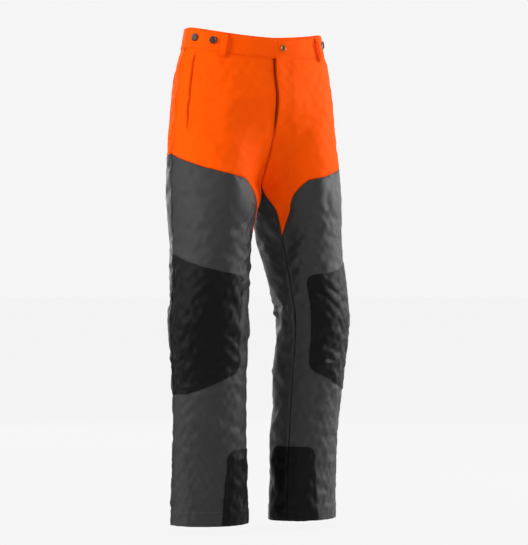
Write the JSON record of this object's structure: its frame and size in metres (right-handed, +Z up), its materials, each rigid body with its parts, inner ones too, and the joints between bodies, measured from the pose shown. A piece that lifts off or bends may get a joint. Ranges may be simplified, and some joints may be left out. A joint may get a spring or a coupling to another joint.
{
  "type": "chainsaw protective trousers",
  "caption": "Full-length chainsaw protective trousers with guard pads, knee and ankle patches, fly zip, belt loops and brace buttons.",
  "frame": {"origin": "centre of the waist opening, at the height of the rim at the sides", "axes": "+Z up towards the waist, -Y the front of the garment, +X the wearer's left"},
  "size_m": [0.4348, 0.2461, 1.0698],
  "materials": {
    "orange_fabric": "plain-woven polyester and cotton, matt",
    "grey_fabric": "plain-woven polyester and cotton, matt",
    "black_patch": "coarse coated weave, slight sheen",
    "guard_fibre": "knitted guard fibres, several layers",
    "lining": "thin plain lining",
    "zip_tape": "woven tape",
    "brown_button": "dark brown, semi-gloss",
    "brass": "antique brass"
  },
  "bodies": {
    "hips": {"front_panel_right": "orange_fabric", "front_panel_left": "orange_fabric", "back_panel_right": "orange_fabric", "back_panel_left": "orange_fabric", "groin_front_right": "orange_fabric", "groin_front_left": "orange_fabric", "groin_back_right": "orange_fabric", "groin_back_left": "orange_fabric", "pocket_bag_right": "lining", "pocket_bag_left": "lining", "zip_tape_right": "zip_tape", "zip_tape_left": "zip_tape", "seat_pocket": "orange_fabric", "waistband_right": "orange_fabric", "waistband_left": "orange_fabric", "waistband_back": "orange_fabric", "belt_loop_front_right": "orange_fabric", "belt_loop_front_left": "orange_fabric", "belt_loop_back_right": "orange_fabric", "belt_loop_back_left": "orange_fabric", "belt_loop_centre_back": "orange_fabric", "fly_overlap": "orange_fabric", "fly_shield": "lining", "brace_button_inner_right": "brown_button", "brace_button_inner_left": "brown_button", "brace_button_side_right": "brown_button", "brace_button_side_left": "brown_button", "brace_button_back_right": "brown_button", "brace_button_back_left": "brown_button", "waist_button": "brass", "zip_chain": "brass"},
    "zip_slider": {"zip_slider": "brass"},
    "zip_pull": {"zip_pull": "brass"},
    "thigh_right": {"hip_front_right": "grey_fabric", "hip_back_right": "grey_fabric", "thigh_front_right": "grey_fabric", "thigh_back_right": "grey_fabric", "guard_pad_hip_right": "guard_fibre", "knee_front_right": "grey_fabric", "knee_back_right": "grey_fabric", "guard_pad_knee_right": "guard_fibre", "knee_patch_right": "black_patch"},
    "shin_right": {"shin_front_right": "grey_fabric", "shin_back_right": "grey_fabric", "guard_pad_shin_right": "guard_fibre", "ankle_patch_right": "black_patch"},
    "thigh_left": {"hip_front_left": "grey_fabric", "hip_back_left": "grey_fabric", "thigh_front_left": "grey_fabric", "thigh_back_left": "grey_fabric", "guard_pad_hip_left": "guard_fibre", "knee_front_left": "grey_fabric", "knee_back_left": "grey_fabric", "guard_pad_knee_left": "guard_fibre", "knee_patch_left": "black_patch"},
    "shin_left": {"shin_front_left": "grey_fabric", "shin_back_left": "grey_fabric", "guard_pad_shin_left": "guard_fibre", "ankle_patch_left": "black_patch"}
  },
  "joints": [
    {"name": "hip_right", "type": "hinge", "parent": "hips", "child": "thigh_right", "pos_m": [-0.111, -0.02, -0.334], "axis": [-1, 0, 0], "range_deg": [-15, 75], "deforming": ["groin_front_right", "groin_back_right", "hip_front_right", "hip_back_right", "guard_pad_hip_right"]},
    {"name": "knee_right", "type": "hinge", "parent": "thigh_right", "child": "shin_right", "pos_m": [-0.13, -0.018, -0.64], "axis": [1, 0, 0], "range_deg": [0, 90], "deforming": ["knee_front_right", "knee_back_right", "guard_pad_knee_right", "knee_patch_right"]},
    {"name": "hip_left", "type": "hinge", "parent": "hips", "child": "thigh_left", "pos_m": [0.111, -0.02, -0.334], "axis": [-1, 0, 0], "range_deg": [-15, 75], "deforming": ["groin_front_left", "groin_back_left", "hip_front_left", "hip_back_left", "guard_pad_hip_left"]},
    {"name": "knee_left", "type": "hinge", "parent": "thigh_left", "child": "shin_left", "pos_m": [0.13, -0.018, -0.64], "axis": [1, 0, 0], "range_deg": [0, 90], "deforming": ["knee_front_left", "knee_back_left", "guard_pad_knee_left", "knee_patch_left"]},
    {"name": "zip_slide", "type": "slide", "parent": "hips", "child": "zip_slider", "axis": [0, 0.0849, -0.9964], "range_m": [0, 0.125], "deforming": ["zip_chain", "zip_tape_right", "zip_tape_left"]},
    {"name": "zip_pull_lift", "type": "hinge", "parent": "zip_slider", "child": "zip_pull", "pos_m": [0, -0.10047, -0.07541], "axis": [-1, 0, 0], "range_deg": [0, 8]}
  ]
}
